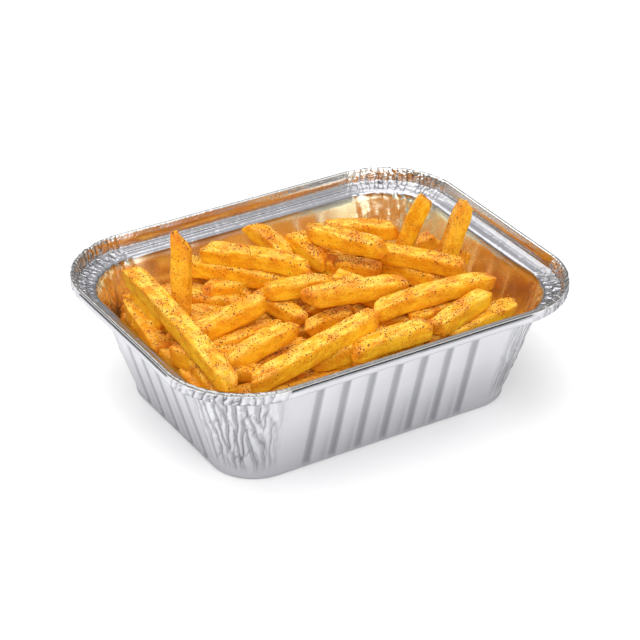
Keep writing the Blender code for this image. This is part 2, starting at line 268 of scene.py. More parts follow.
def foil_path():
    """The foil's middle line, from near the middle of the base to the skirt's turned-in edge.

    Each entry is inset, height, plan scale, and how far the straight sides fold in to make the slit, and so
    how dark its painted shade is.
    """
    path = [(BASE_INSET + 1.6, FOIL / 2, k / BASE_RINGS, 0.0) for k in range(1, BASE_RINGS + 1)]
    path += [(inset, z, 1.0, 0.0)
             for inset, z in ((BASE_INSET + 0.5, 0.16), (BASE_INSET, 0.42), (BASE_INSET - 0.36, 0.95))]
    for k in range(WALL_STEPS + 1):
        z = 1.8 + (POCKET_Z - 2.8) * k / WALL_STEPS
        path.append((POCKET_INSET + WALL_SLOPE * (POCKET_Z - z), z, 1.0, 0.0))
    path += [(inset, z, 1.0, 0.0) for inset, z in (
        (8.26, 37.3), (8.14, 37.8), (7.95, 38.2), (7.65, 38.55), (7.2, 38.85), (6.6, 39.0), (5.9, 39.06),
        (5.25, 39.12), (5.0, 39.3), (4.8, LEDGE_Z - 0.12), (4.5, LEDGE_Z - 0.08), (3.9, LEDGE_Z - 0.06),
        (3.3, LEDGE_Z - 0.04), (LIP_FOOT + 0.35, LEDGE_Z), (LIP_FOOT, LEDGE_Z + 0.25),
        (LIP_FOOT - 0.06, 40.5), (LIP_FOOT - 0.12, 41.4), (LIP_FOOT - 0.22, 42.2),
        (LIP_FOOT - 0.48, 43.0), (LIP_TOP, ROLL_Z))]
    middle = LIP_TOP - ROLL_RADIUS
    for k in range(1, ROLL_STEPS + 1):
        turn = math.radians(k * ROLL_TURN / ROLL_STEPS)
        path.append((middle + ROLL_RADIUS * math.cos(turn), ROLL_Z + ROLL_RADIUS * math.sin(turn), 1.0, 0.0))
    path += [(SKIRT_INSET + turn_in, z, 1.0, slit) for turn_in, z, slit in (
        (0.0, 43.42, 0.4), (0.0, 43.22, 1.0), (0.0, 42.98, 1.0), (0.0, 42.74, 0.9), (0.0, 42.55, 0.15),
        (0.0, 42.1, 0.0), (0.0, 41.6, 0.0), (0.0, 41.1, 0.0), (0.06, 40.6, 0.0), (0.4, 40.28, 0.0),
        (1.0, 40.16, 0.0))]
    return path


def ridges(value):
    """Sharp creases between soft hollows, from -1 to 1, out of a smooth noise value."""
    return 1.0 - 2.8 * abs(value)


def wall_fold(arc, run):
    """Long upright folds down the corners, where the spare foil gathers."""
    wander = 0.9 * noise.noise(Vector((run / 6.0, arc / 8.0, 3.0)))
    return noise.noise(Vector(((arc + wander) / WALL_FOLD, run / 26.0, 1.0)))


def wall_branch(arc, run):
    """Slanting folds that run across the upright ones."""
    return noise.noise(Vector(((arc + 0.30 * run) / 6.0, (run - 0.2 * arc) / 16.0, 5.0)))


def lip_pleat(arc, run):
    """Close pleats across the ledge and up the lip."""
    wander = 0.4 * noise.noise(Vector((run / 6.0, arc / 8.0, 3.0)))
    return noise.noise(Vector(((arc + wander) / LIP_PLEAT, run / 13.0, 8.0)))


def skirt_pleat(arc, run):
    """Slanting pleats of the folded-down edge."""
    wander = 0.8 * noise.noise(Vector((run / 2.0, arc / 3.0, 3.0)))
    return noise.noise(Vector(((arc + wander + 0.3 * run) / SKIRT_PLEAT, run / 7.0, 8.0)))


def crease_line(fold, arc, run, half_width):
    """A fold's value, how near the place is to its sharp edge, and which flank it is on."""
    value = fold(arc, run)
    along = (fold(arc + 0.3, run) - value) / 0.3
    across = (fold(arc, run + 0.3) - value) / 0.3
    near = abs(value) / max(math.hypot(along, across), 0.08)
    return value, 1.0 - smooth(0.1, half_width, near), -math.copysign(1.0, value) * along


def foil_shift(column, inset, z, run, slit):
    """How far the foil goes outward and up at a place, how crushed it is there, and how much painted shade
    and painted shade of creases it gets.
    """
    x, y = outline_point(column, inset, 0.0)
    here = Vector((x, y, z))
    at_corner = column[0] == "corner"
    corner = column[4]
    straight = 1.0 - smooth(0.0, 0.35, corner)
    edge = smooth(*LEDGE_START, z)
    flat = 1.0 - smooth(*LIP_START, z)
    outside = inset < LIP_TOP - ROLL_RADIUS
    push = DENT_HEIGHT * noise.noise(here / 24.0) * smooth(1.0, 8.0, z)
    push -= column[3] * FLUTE_DEPTH * smooth(0.8, 2.6, z) * (1.0 - smooth(30.0, 37.4, z))
    push -= slit * SLIT_DEPTH * straight
    rise = DENT_HEIGHT * noise.noise(here / 19.0 + Vector((9.0, 4.0, 2.0))) * edge
    # Painted shade: dark lines where the foil bends at the pocket's edge and at the ledge's step, and a grey
    # band along the roll's outer half.
    pocket_line = smooth(37.4, 37.8, z) - smooth(38.0, 38.3, z)
    step_line = smooth(39.2, 39.3, z) - smooth(39.4, 39.5, z)
    dark_line = (0.8 * pocket_line + 0.6 * step_line) * (inset > LIP_FOOT)
    brim = 0.6 if inset < LIP_TOP - 0.6 * ROLL_RADIUS and z > ROLL_Z - 0.3 else 0.0
    if at_corner:
        arc = column[1] * RIM_RADIUS + 60.0 * column[2]
        fold, fold_line, flank = crease_line(wall_fold, arc, run, FOLD_LINE)
        branch, branch_line, side_flank = crease_line(wall_branch, arc, run, FOLD_LINE)
        pleat, pleat_line, pleat_flank = crease_line(skirt_pleat if outside else lip_pleat,
                                                     arc, run, PLEAT_LINE)
        facets = ridges(noise.noise(here / FACET_SIZE + Vector((31.0, 7.0, 3.0))))
        wall = smooth(1.5, 9.0, z) * (1.0 - edge)
        pleat_height = PLEAT_HEIGHT - ROLLED_PLEAT_LOSS * smooth(42.4, 43.6, z)
        push += corner * (wall * (FOLD_HEIGHT * ridges(fold) + BRANCH_HEIGHT * ridges(branch)
                                  + WALL_FACET * facets)
                          + edge * (pleat_height * ridges(pleat) + (0.05 + 0.10 * flat) * facets))
        rise += corner * edge * (0.20 * ridges(pleat) + 0.24 * flat * facets)
        # Painted shade along the slit, the bend lines, the roll's outer half and the corner's fold and pleat
        # lines.
        painted_crease_shade = max(max(slit, 0.8 * dark_line) * straight, brim, 0.75 * corner * edge * pleat_line,
                     0.6 * corner * wall * max(fold_line, 0.7 * branch_line))
        # Painted shade: one flank of each fold and facet is painted darker, on the skirt and on the wall.
        if outside:
            shade = 0.15 + 0.6 * corner * min(max(2.5 * pleat_flank + 0.5 * facets, 0.0), 1.0)
        else:
            dark_flank = 4.5 * (flank + 0.6 * side_flank) + 0.4 * facets
            shade = corner * wall * min(max(dark_flank, 0.0), 0.75)
    else:
        rise += edge * 0.05 * ridges(noise.noise(Vector((x / FACET_SIZE, y / FACET_SIZE, run / 3.0))))
        # Painted shade in the slit, along the bend lines and on the roll's outer half.
        painted_crease_shade = max(slit, dark_line, brim)
        # Painted shade: the flutes are darker down one side, the flats near the base, and the skirt a little
        # all along.
        flute_shade = max(column[2], 0.0) * (1.0 - 0.2 * smooth(4.0, 26.0, z)) * (1.0 - smooth(36.6, 37.8, z))
        flat_shade = -min(column[2], 0.0) * (1.0 - smooth(3.0, 22.0, z))
        shade = max((flute_shade + flat_shade) * smooth(0.6, 2.0, z), 0.3 * outside)
    push = min(push, MOST_LIP_PUSH if edge > 0.5 else MOST_PUSH)
    rise = min(rise, MOST_RISE - 0.25 * smooth(41.0, 42.5, z))
    crush = max(corner * (0.25 + 0.3 * smooth(14.0, 34.0, z) + 0.45 * edge), 0.12 * edge, LEAST_CRUSH)
    return push, rise, crush, shade, painted_crease_shade


columns = tray_columns()
path = foil_path()
line_normals = []
runs = []
run = 0.0
for k, (inset, z, scale, slit) in enumerate(path):
    before = path[max(k - 1, 0)]
    after = path[min(k + 1, len(path) - 1)]
    along_in = (before[0] + SLIT_DEPTH * before[3]) - (after[0] + SLIT_DEPTH * after[3])
    climb = after[1] - before[1]
    if k < BASE_RINGS:
        along_in, climb = 1.0, 0.0
    size = math.hypot(along_in, climb)
    line_normals.append((-climb / size, -along_in / size))
    run += math.hypot(inset - before[0], z - before[1])
    runs.append(run)
shifts = []
for (inset, z, scale, slit), run in zip(path, runs):
    if scale == 1.0 and z > 0.5:
        shifts.append([foil_shift(column, inset, z, run, slit) for column in columns])
    else:
        shifts.append([(0.0, 0.0, LEAST_CRUSH, 0.0, 0.0)] * len(columns))
points = []
# Per point: crush for the bumps, painted shade, painted shade along the creases, and which side is matt.
foil_marks = {"crush": [], "flute": [], "painted_crease_shade": [], "matt_side": []}
for side, order in ((1.0, range(len(path))), (-1.0, range(len(path) - 1, -1, -1))):
    for k in order:
        inset, z, scale, slit = path[k]
        out_inset = inset + side * line_normals[k][0] * FOIL / 2
        out_z = max(z + side * line_normals[k][1] * FOIL / 2, 0.0)
        full = side > 0.0 or inset < INNER_WALL_INSET
        matt_side = side > 0.0 or k >= len(path) - SKIRT_RINGS
        for column, (push, rise, crush, flute, painted_crease_shade) in zip(columns, shifts[k]):
            x, y = outline_point(column, out_inset, push)
            points.append((x * scale * MM, y * scale * MM, (out_z + rise) * MM))
            foil_marks["crush"].append(crush * (1.0 if full else INNER_CRUSH))
            foil_marks["flute"].append(flute)
            foil_marks["painted_crease_shade"].append(painted_crease_shade * (1.0 if full else INNER_CREASE_SHADE))
            foil_marks["matt_side"].append(float(matt_side))
count = len(columns)
rings = 2 * len(path)
faces = []
for k in range(rings - 1):
    for i in range(count):
        j = (i + 1) % count
        faces.append((k * count + i, k * count + j, (k + 1) * count + j, (k + 1) * count + i))
points += [(0.0, 0.0, 0.0), (0.0, 0.0, FOIL * MM)]
for label, ends in (("crush", [LEAST_CRUSH, LEAST_CRUSH]), ("flute", [0.0, 0.0]), ("painted_crease_shade", [0.0, 0.0]),
                    ("matt_side", [1.0, 0.0])):
    foil_marks[label] += ends
for i in range(count):
    j = (i + 1) % count
    faces.append((len(points) - 2, j, i))
    faces.append((len(points) - 1, (rings - 1) * count + i, (rings - 1) * count + j))
skin = bpy.data.meshes.new("foil_container")
skin.from_pydata(points, [], faces)
for label, values in foil_marks.items():
    skin.attributes.new(label, "FLOAT", "POINT").data.foreach_set("value", values)
skin.shade_smooth()
tray = bpy.data.objects.new("foil_container", skin)
bpy.context.scene.collection.objects.link(tray)

# Soft-temper aluminium foil, rolled bright on the side that faces the food and matt on the outside: it
# mirrors softly along its flats, is painted darker down the flutes as shade, and where it is crushed each
# small facet catches the light or the dark on its own, with painted shade on one flank. A film of fat dulls
# and warms the inner wall, and the warm tint also paints in the fries' reflection. The creases are finer
# than their painted dark lines of shade, which are drawn 0.4 to 0.55 mm to each side.
CRUSH_FACET = 2.6
CRUSH_WRINKLE = 1.4
CRUSH_DEPTH = 0.55
ROLLING_WAVE = 9.0
WAVE_DEPTH = 0.5
FOIL_ROUGHNESS = (0.15, 0.24)
SATIN_ROUGHNESS = 0.14
FILM_TOP = (36.5, 38.4)
# Height below which the matt outer wall is painted darker, as shade
LOW_SHADE_TOP = 24.0
foil = bpy.data.materials.new("bright_rolled_aluminium")
foil.use_nodes = True
wires = foil.node_tree
place = add_node(wires, "ShaderNodeTexCoord").outputs["Object"]
# The marks from the mesh: crush for the bumps, painted shade, painted shade along the creases, and the matt
# side.
crushed, fluted, crease_shade_mark, matt = [add_node(wires, "ShaderNodeAttribute", attribute_name=name).outputs["Fac"]
                                  for name in ("crush", "flute", "painted_crease_shade", "matt_side")]
coarse = add_node(wires, "ShaderNodeTexVoronoi", {"Vector": place, "Scale": 1 / (CRUSH_FACET * MM)},
                  feature="DISTANCE_TO_EDGE")
fine = add_node(wires, "ShaderNodeTexVoronoi", {"Vector": place, "Scale": 1 / (CRUSH_WRINKLE * MM)},
                feature="DISTANCE_TO_EDGE")
waves = add_node(wires, "ShaderNodeTexNoise", {"Vector": place, "Scale": 1 / (ROLLING_WAVE * MM),
                                               "Detail": 3.0})
facets = add_node(wires, "ShaderNodeMath", {0: fine.outputs["Distance"], 1: 0.5,
                                            2: coarse.outputs["Distance"]}, operation="MULTIPLY_ADD")
crush_bump = add_node(wires, "ShaderNodeBump", {"Height": facets.outputs[0], "Strength": crushed,
                                                "Distance": CRUSH_DEPTH * MM})
wave_bump = add_node(wires, "ShaderNodeBump", {"Height": waves.outputs["Fac"], "Strength": 0.3,
                                               "Distance": WAVE_DEPTH * MM, "Normal": crush_bump.outputs[0]})
haze = add_node(wires, "ShaderNodeMapRange",
                {"Value": waves.outputs["Fac"], "From Min": 0.3, "From Max": 0.7,
                 "To Min": FOIL_ROUGHNESS[0], "To Max": FOIL_ROUGHNESS[1]})
low = add_node(wires, "ShaderNodeSeparateXYZ", {0: place})
ledge_share = add_node(wires, "ShaderNodeMapRange", {"Value": low.outputs["Z"], "From Min": FILM_TOP[0] * MM,
                                                 "From Max": FILM_TOP[1] * MM})
film = add_node(wires, "ShaderNodeMapRange", {"Value": ledge_share.outputs[0], "To Min": 0.5, "To Max": 0.0})
satin = add_node(wires, "ShaderNodeMath", {0: matt, 1: film.outputs[0]}, operation="MAXIMUM")
roughness = add_node(wires, "ShaderNodeMath", {0: satin.outputs[0], 1: SATIN_ROUGHNESS,
                                               2: haze.outputs["Result"]}, operation="MULTIPLY_ADD")
# Painted shade: the matt outer wall is mixed darker towards its base, for the floor's shade that it mirrors
# there.
low_shade_share = add_node(wires, "ShaderNodeMapRange", {"Value": low.outputs["Z"], "From Max": LOW_SHADE_TOP * MM,
                                                   "To Min": 1.0, "To Max": 0.0})
raised = add_node(wires, "ShaderNodeMapRange", {"Value": low.outputs["Z"], "From Min": LIP_START[0] * MM,
                                                "From Max": LIP_START[1] * MM})
# Partly painted reflection: the bright side is warm near-white on the inner wall, the fat film's tint and a
# painted warm reflection of the fries in one; grey on the ledge, a painted darker reflection; and near-white
# up the lip, a painted lighter reflection.
ledge_tint = add_node(wires, "ShaderNodeMix", {0: ledge_share.outputs[0], 6: linear("#FFFCDC"),
                                               7: linear("#B4B4B9")}, data_type="RGBA")
bright_tint = add_node(wires, "ShaderNodeMix", {0: raised.outputs[0], 6: ledge_tint.outputs[2],
                                                7: linear("#F2F0EC")}, data_type="RGBA")
matt_tint = add_node(wires, "ShaderNodeMix", {0: low_shade_share.outputs[0], 6: linear("#DADADE"),
                                              7: linear("#B8B8BC")}, data_type="RGBA")
sheen = add_node(wires, "ShaderNodeMix", {0: matt, 6: bright_tint.outputs[2], 7: matt_tint.outputs[2]},
                 data_type="RGBA")
# Painted shade: on the matt side the flutes, the flanks of folds and facets, and the skirt are mixed towards
# grey.
painted_shade_share = add_node(wires, "ShaderNodeMath", {0: fluted, 1: matt}, operation="MULTIPLY")
fluted_tint = add_node(wires, "ShaderNodeMix", {0: painted_shade_share.outputs[0], 6: sheen.outputs[2],
                                                7: linear("#8E8E93")}, data_type="RGBA")
# Painted shade: the foil is mixed towards near black along the slit, the bends, the roll and the fold lines.
crease_shade_tint = add_node(wires, "ShaderNodeMix", {0: crease_shade_mark, 6: fluted_tint.outputs[2],
                                                 7: linear("#2A2A30")}, data_type="RGBA")
foil_shader = wires.nodes["Principled BSDF"]
foil_shader.inputs["Metallic"].default_value = 1.0
wires.links.new(crease_shade_tint.outputs[2], foil_shader.inputs["Base Color"])
wires.links.new(roughness.outputs[0], foil_shader.inputs["Roughness"])
wires.links.new(wave_bump.outputs["Normal"], foil_shader.inputs["Normal"])
skin.materials.append(foil)
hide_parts("foil_tray")
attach(tray, "root")


# Fries on top. Thin-cut potato, fried: square bars with crisp raised edges, faces that sink a little as
# they dry and slanted ends, tipped into the tray by hand. The first 42 show, and the rest carry them.

# Middle (x, y, z), length, heading in degrees from +X, tilt in degrees, width, thickness and bow
TOP_FRIES = (
    (-54.6, -4, 42.4, 71, -91, -6, 6.7, 5.9, 0.6),
    (-25, -38, 41.2, 47, 0, 14, 6.5, 6.1, -0.5),
    (-20, 18, 40.8, 45, -52, 1, 5.8, 6.0, 0.6),
    (23, -33, 44.9, 43, -7, 3, 6.3, 5.9, 1.6),
    (-15, 14, 46.6, 38, -51, 0, 6.5, 6.1, 0.5),
    (32, -8, 43.9, 36, -55, 1, 6.1, 5.9, 0.5),
    (-45, 12, 48.0, 33, 46, 86, 6.1, 5.0, 0.3),
    (1, -21, 47.0, 34, -15, 0, 6.7, 6.3, 0.4),
    (-23, 26, 33.5, 32, -73, 6, 5.9, 5.6, 0.4),
    (37, 4, 43.9, 38, -53, 71, 5.9, 5.8, 0.6),
    (48, -7, 46.1, 29, -20, 72, 6.5, 5.8, 0.6),
    (-33, -25, 33.6, 29, 1, 7, 5.9, 5.8, 0.3),
    (13, 5, 50.2, 28, -53, -3, 6.5, 6.1, 0.5),
    (31, -6, 38.0, 28, -61, 0, 6.3, 6.4, 0.3),
    (-47, 13, 28.0, 28, -94, 0, 5.8, 5.4, 0.3),
    (-57, 14, 33.3, 27, -95, -11, 6.7, 5.6, 0.3),
    (-1, -45, 41.2, 27, -8, 7, 6.7, 6.1, 0.4),
    (-26, 17, 32.0, 27, -76, 0, 5.9, 5.8, 0.3),
    (30, -40, 32.0, 27, 0, 0, 5.9, 5.8, 0.2),
    (13, 7, 39.6, 27, -55, 4, 5.9, 5.8, 0.3),
    (-37, -25, 39.7, 26, -10, 20, 6.1, 6.1, 0.4),
    (-29, -38, 31.0, 26, -2, 0, 5.9, 5.4, 0.2),
    (-38, -7, 41.8, 25, -9, 19, 6.1, 6.1, 0.4),
    (27, 17, 45.0, 25, -33, 0, 5.9, 5.9, 0.4),
    (-35, -12, 35.8, 24, -16, 10, 5.9, 5.6, 0.2),
    (-1, -26, 32.4, 23, -2, 4, 5.8, 5.8, 0.2),
    (40, -10, 32.3, 23, -23, 14, 5.8, 5.8, 0.2),
    (26.5, -43.6, 42.6, 23, 9, 12, 6.1, 5.8, 0.3),
    (34, -44.9, 37.7, 26, -1, 9, 6.7, 5.9, 0.3),
    (-11, -5, 44.2, 22, -11, -2, 5.9, 5.9, 0.3),
    (-18, -5, 38.7, 21, -77, -4, 5.8, 5.4, 0.2),
    (7, 5, 36.0, 21, -56, 0, 5.8, 5.8, 0.2),
    (-51, -8, 29.5, 21, 51, -3, 6.3, 5.6, 0.2),
    (-6, 22, 47.0, 20, -73, -18, 6.1, 5.9, 0.3),
    (-17, -37, 35.0, 20, -21, 0, 5.8, 5.4, 0.2),
    (-48, -21, 29.8, 18, 32, -8, 5.9, 5.4, 0.2),
    (13, -32, 37.2, 18, -42, 2, 5.8, 5.4, 0.2),
    (13, 19, 40.8, 18, -57, -14, 5.8, 5.4, 0.2),
    (3, 13, 45.7, 17, -68, -22, 5.8, 5.8, 0.2),
    (-8, -20, 38.0, 17, -11, 10, 5.8, 5.6, 0.2),
    (47, 14, 34.4, 16, -11, 11, 5.8, 5.8, 0.2),
    (49, -7, 35.6, 13, -15, 66, 6.1, 5.8, 0.1),
    (-53.3, 17, 39.0, 22, -91, -6, 6.2, 6.6, 0.2),
    (-53, -16, 35.0, 22, -60, 0, 6.2, 6.8, 0.2),
    (9, -14, 41.0, 28, -75, 0, 6.2, 6.4, 0.2),
    (2, 14, 40.2, 26, -40, 0, 6.2, 6.4, 0.2),
    (27, 18, 39.3, 24, -60, 0, 6.2, 6.4, 0.2),
    (28, 22, 34.0, 26, -20, 0, 6.2, 6.4, 0.2),
    (12, 22, 35.4, 26, -30, 0, 6.2, 6.4, 0.2),
    (46, 10, 28.5, 30, -70, -5, 6.2, 6.2, 0.2),
    (-12, -39, 38.2, 26, -12, 12, 6.2, 6.6, 0.2),
    (0, -42, 35.4, 26, 10, 5, 6.2, 6.8, 0.2),
    (24, -34, 39.2, 24, 12, 0, 6.2, 6.4, 0.2),
    (-20, 17, 36.5, 26, -15, 0, 6.2, 6.4, 0.2),
    (31, -5, 33.0, 26, -20, 0, 6.2, 6.4, 0.2),
)
FRY_SEED = 21
# The section's edges and faces are shares of half its width. Other sizes are in millimetres.
EDGE_RADIUS = 0.26
EDGE_TURNS = (12.0, 45.0, 78.0)
FACE_POINTS = (-0.42, 0.0, 0.42)
FACE_SINK = 0.17
SKIN_BLISTER = 0.15
BLISTER_SIZE = 3.4
RING_GAP = 1.3
END_SPARE = 0.4
END_ROUND = 1.0
TAPER_REACH = (3.0, 8.0)
TAPER = (0.70, 0.98)
SLANT = (0.1, 1.3)
SLANT_REACH = 7.0
SIDE_BOW = 0.9
TWIST = 0.16
WANDER = 0.5
SWELL = 0.05
BROWN_REACH = 6.0
GRAIN_STRETCH = 2.2
STEEP = 60
POINTED_FRY = 6
POINTED_SLANT = 2.4


def cut_section(turns, places):
    """A square with rounded corners, as points round it from -1 to 1."""
    section = []
    for quarter in range(4):
        c, s = ((1, 0), (0, 1), (-1, 0), (0, -1))[quarter]
        ring = [(1.0, place) for place in places]
        ring += [(1.0 - EDGE_RADIUS * (1.0 - math.cos(math.radians(turn))),
                  1.0 - EDGE_RADIUS * (1.0 - math.sin(math.radians(turn)))) for turn in turns]
        section += [(a * c - b * s, a * s + b * c) for a, b in ring]
    return section


def fries_mesh(name, rows, section, seed):
    """One mesh of many fries, with each vertex marked for edge, end, upward side and tone."""
    around = len(section)
    rng = random.Random(seed)
    points, faces = [], []
    marks = {"edge": [], "end": [], "upward": [], "tone": [], "grain_place": []}
    for number, (x, y, z, length, heading, tilt, width, thickness, bow) in enumerate(rows):
        turn = Matrix.Rotation(math.radians(heading), 4, "Z") @ Matrix.Rotation(math.radians(-tilt), 4, "Y")
        stand = Matrix.Translation((x, y, z)) @ turn
        half = length / 2 + END_SPARE
        body = max(8, round(length / RING_GAP))
        round_end = []
        for share in (0.1, 0.3, 0.6):
            angle = math.pi / 2 * share
            round_end.append((half - END_ROUND * (1 - math.cos(angle)), math.sin(angle) ** 0.45))
        stations = [(-along, scale) for along, scale in round_end]
        stations += [((half - END_ROUND) * (2 * k / body - 1), 1.0) for k in range(body + 1)]
        stations += list(reversed(round_end))
        slants = [rng.uniform(*SLANT) * rng.choice((-1, 1)) for _ in range(4)]
        tapers = [rng.uniform(*TAPER) for _ in range(4)]
        reaches = [min(rng.uniform(*TAPER_REACH), half) for _ in range(2)]
        side_bow = rng.uniform(-SIDE_BOW, SIDE_BOW)
        twist = rng.uniform(-TWIST, TWIST)
        tone = rng.uniform(0.0, 1.0)
        drift = Vector((rng.uniform(0, 99), rng.uniform(0, 99), rng.uniform(0, 99)))
        if name == "top_fries" and number == POINTED_FRY:
            slants[2:] = [POINTED_SLANT, 0.4]
            tapers[2:] = [0.95, 0.9]
        base = len(points)
        for along, scale in stations:
            share = along / half
            far = 1 if share > 0 else 0
            rise = bow * (1.0 - share ** 2) - bow / 2
            rise += WANDER * noise.noise(Vector((along / 14.0, 3.0, 0.0)) + drift)
            sway = side_bow * (1.0 - share ** 2) - side_bow / 2
            swell = 1.0 + SWELL * noise.noise(Vector((along / 8.0, 0.0, 0.0)) + drift)
            near = smooth(half - reaches[far], half, abs(along))
            narrow = 1.0 - near * (1.0 - tapers[2 * far])
            thin = 1.0 - near * (1.0 - tapers[2 * far + 1])
            lean = smooth(half - SLANT_REACH, half, abs(along))
            slant_a, slant_b = slants[2 * far], slants[2 * far + 1]
            limit = (1 if far else -1) * 0.5 * (abs(slant_a) + abs(slant_b))
            c, s = math.cos(twist * share), math.sin(twist * share)
            for a, b in section:
                corner = min((abs(a) * abs(b)) ** 2 * 1.3, 1.0)
                spot = Vector((along / BLISTER_SIZE, a * width / 6.0, b * thickness / 6.0)) + drift
                rough = SKIN_BLISTER * (noise.noise(spot) + 0.5 * noise.noise(spot * 2.3))
                sink = FACE_SINK * (1.0 - corner) * (0.6 + noise.noise(spot * 0.4))
                grow = (rough - sink) * scale
                across = a * (width / 2 + grow) * scale * swell * narrow
                up = b * (thickness / 2 + grow) * scale * swell * thin
                slide = lean * (slant_a * a + slant_b * b - limit)
                spot_out = Vector((along + slide, across * c - up * s + sway, across * s + up * c + rise))
                points.append((stand @ spot_out) * MM)
                outward = (stand.to_3x3() @ Vector((0.0, a * abs(a), b * abs(b)))).normalized()
                marks["edge"].append(corner)
                marks["end"].append(smooth(half - BROWN_REACH, half, abs(along)))
                # How much a face looks up: it sets how much painted highlight the top gets, and where paprika
                # and dust settle. Upright fries get a little more, to paint them lighter.
                upward = 0.5 + 0.6 * outward.z + 0.12 * (tilt > STEEP)
                marks["upward"].append(min(max(upward, 0.0), 1.0))
                marks["tone"].append(tone)
                marks["grain_place"] += [along / GRAIN_STRETCH * MM + drift.x * 0.01, across * MM,
                                         up * MM + drift.y * 0.01]
        for k in range(len(stations) - 1):
            low, high = base + k * around, base + (k + 1) * around
            for i in range(around):
                j = (i + 1) % around
                faces.append((low + i, low + j, high + j, high + i))
        faces.append(tuple(base + i for i in reversed(range(around))))
        top = base + (len(stations) - 1) * around
        faces.append(tuple(top + i for i in range(around)))
    mesh = bpy.data.meshes.new(name)
    mesh.from_pydata(points, [], faces)
    for label, values in marks.items():
        kind, field = ("FLOAT_VECTOR", "vector") if label == "grain_place" else ("FLOAT", "value")
        mesh.attributes.new(label, kind, "POINT").data.foreach_set(field, values)
    mesh.shade_smooth()
    made = bpy.data.objects.new(name, mesh)
    bpy.context.scene.collection.objects.link(made)
    return made


top_fries = fries_mesh("top_fries", TOP_FRIES, cut_section(EDGE_TURNS, FACE_POINTS), FRY_SEED)

# Fried potato: a golden crust, browned at the ends, with a little oil shine, light that sinks in and comes
# back orange, and paprika that stains it in patches and dots it. Where it faces up it is painted paler, a
# painted highlight of the light from above. Low in the heap it is a deeper orange, because the light there
# comes off other fries.
BLOTCH_SIZE = 6.0
STREAK_SIZE = 2.2
GRIT_SIZE = 0.55
CRISP_DEPTH = 0.42
LIGHT_DEPTH = 2.4
LOW_IN_HEAP = (28.0, 38.5)
crust = bpy.data.materials.new("fried_potato_crust")
crust.use_nodes = True
wires = crust.node_tree
place = add_node(wires, "ShaderNodeTexCoord").outputs["Object"]
grain_place = add_node(wires, "ShaderNodeAttribute", attribute_name="grain_place").outputs["Vector"]
marks = {name: add_node(wires, "ShaderNodeAttribute", attribute_name=name).outputs["Fac"]
         for name in ("edge", "end", "upward", "tone")}
blotch = add_node(wires, "ShaderNodeTexNoise", {"Vector": place, "Scale": 1 / (BLOTCH_SIZE * MM),
                                                "Detail": 3.0})
streak = add_node(wires, "ShaderNodeTexNoise", {"Vector": grain_place, "Scale": 1 / (STREAK_SIZE * MM),
                                                "Detail": 4.0})
grit = add_node(wires, "ShaderNodeTexNoise", {"Vector": place, "Scale": 1 / (GRIT_SIZE * MM), "Detail": 2.0})
tone_tint = add_node(wires, "ShaderNodeMix", {0: marks["tone"], 6: linear("#FCC424"),
                                              7: linear("#FAB81E")}, data_type="RGBA")
# Painted highlight: faces that look up, and upright fries, are painted paler, for the light from above.
painted_top_light_share = add_node(wires, "ShaderNodeMapRange", {"Value": marks["upward"], "From Min": 0.55,
                                                    "From Max": 1.0, "To Max": 0.8})
painted_top_light = add_node(wires, "ShaderNodeMix", {0: painted_top_light_share.outputs[0], 6: tone_tint.outputs[2],
                                         7: linear("#FBC854")}, data_type="RGBA")
golden_share = add_node(wires, "ShaderNodeMapRange", {"Value": streak.outputs["Fac"], "From Min": 0.44,
                                                      "From Max": 0.57, "To Max": 0.95})
golden = add_node(wires, "ShaderNodeMix", {0: golden_share.outputs[0], 6: painted_top_light.outputs[2],
                                           7: linear("#F0A612")}, data_type="RGBA")
edge_part = add_node(wires, "ShaderNodeMath", {0: marks["edge"], 1: 0.55}, operation="MULTIPLY")
brim = add_node(wires, "ShaderNodeMath", {0: edge_part.outputs[0], 1: marks["end"]}, operation="MAXIMUM")
brown_share = add_node(wires, "ShaderNodeMath", {0: brim.outputs[0], 1: blotch.outputs["Fac"]},
                       operation="MULTIPLY")
brown_range = add_node(wires, "ShaderNodeMapRange", {"Value": brown_share.outputs[0], "From Min": 0.26,
                                                     "From Max": 0.66, "To Max": 0.7})
browned = add_node(wires, "ShaderNodeMix", {0: brown_range.outputs[0], 6: golden.outputs[2],
                                            7: linear("#DC800E")}, data_type="RGBA")
stain_area = add_node(wires, "ShaderNodeMapRange", {"Value": blotch.outputs["Fac"], "From Min": 0.47,
                                                    "From Max": 0.66, "To Max": 0.5})
stain_share = add_node(wires, "ShaderNodeMath", {0: stain_area.outputs[0], 1: marks["upward"]},
                       operation="MULTIPLY")
stained = add_node(wires, "ShaderNodeMix", {0: stain_share.outputs[0], 6: browned.outputs[2],
                                            7: linear("#CC6210")}, data_type="RGBA")
dust_grain = add_node(wires, "ShaderNodeMapRange", {"Value": grit.outputs["Fac"], "From Min": 0.54,
                                                    "From Max": 0.66})
dust_area = add_node(wires, "ShaderNodeMapRange", {"Value": blotch.outputs["Fac"], "From Min": 0.36,
                                                   "From Max": 0.62, "To Min": 0.4, "To Max": 1.0})
dust_top = add_node(wires, "ShaderNodeMath", {0: dust_area.outputs[0], 1: marks["upward"]},
                    operation="MULTIPLY")
dust_share = add_node(wires, "ShaderNodeMath", {0: dust_top.outputs[0], 1: dust_grain.outputs[0]},
                      operation="MULTIPLY")
dusted = add_node(wires, "ShaderNodeMix", {0: dust_share.outputs[0], 6: stained.outputs[2],
                                           7: linear("#9A3A0C")}, data_type="RGBA")
depth = add_node(wires, "ShaderNodeSeparateXYZ", {0: place})
sunk_share = add_node(wires, "ShaderNodeMapRange", {"Value": depth.outputs["Z"],
                                                    "From Min": LOW_IN_HEAP[0] * MM,
                                                    "From Max": LOW_IN_HEAP[1] * MM,
                                                    "To Min": 0.5, "To Max": 0.0})
